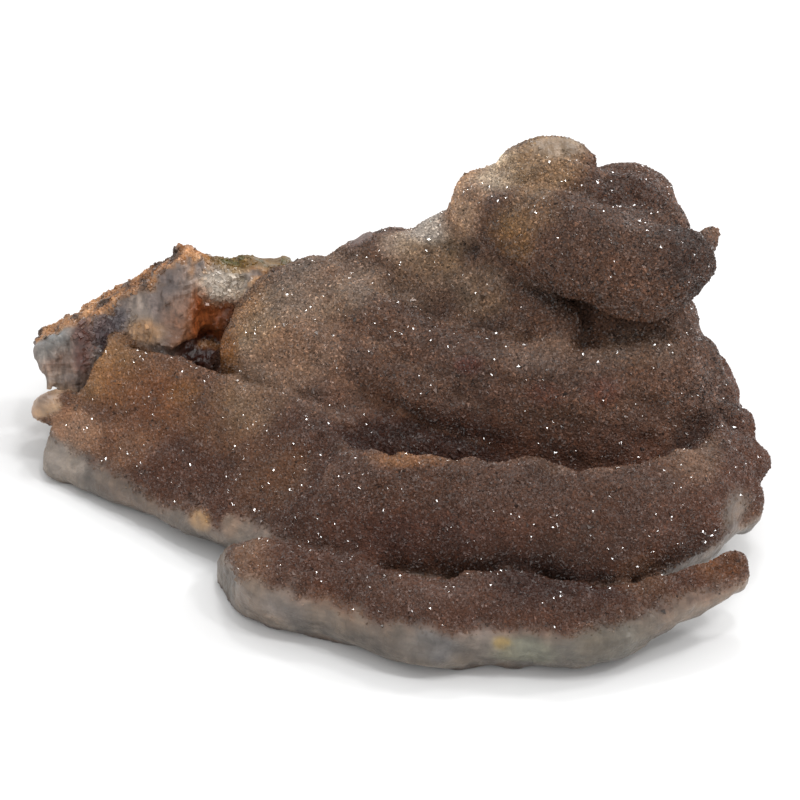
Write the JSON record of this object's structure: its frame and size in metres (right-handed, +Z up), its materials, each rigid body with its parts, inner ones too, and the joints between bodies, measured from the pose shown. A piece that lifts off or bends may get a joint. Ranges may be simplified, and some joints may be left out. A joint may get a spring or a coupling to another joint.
{
  "type": "chalcedony specimen",
  "caption": "Drusy chalcedony specimen with thin wavy ledges stepping up to a rounded knob, a sloping lobe at one side and a rough broken peak behind it.",
  "frame": {"origin": "on the flat resting face, under the middle of the specimen's outline", "axes": "+X to the right along the length, with the knob at +X and the sloping lobe at -X; -Y towards the front ledge; +Z up"},
  "size_m": [0.1139, 0.0832, 0.0507],
  "materials": {
    "chalcedony": "brown to mauve grey translucent stone, paler and greyer where it is bare, with an orange-brown rind on the broken peak",
    "druse": "sugar-fine crystal crust with bright small glints"
  },
  "bodies": {
    "root": {"chalcedony_specimen": "chalcedony"}
  },
  "joints": []
}
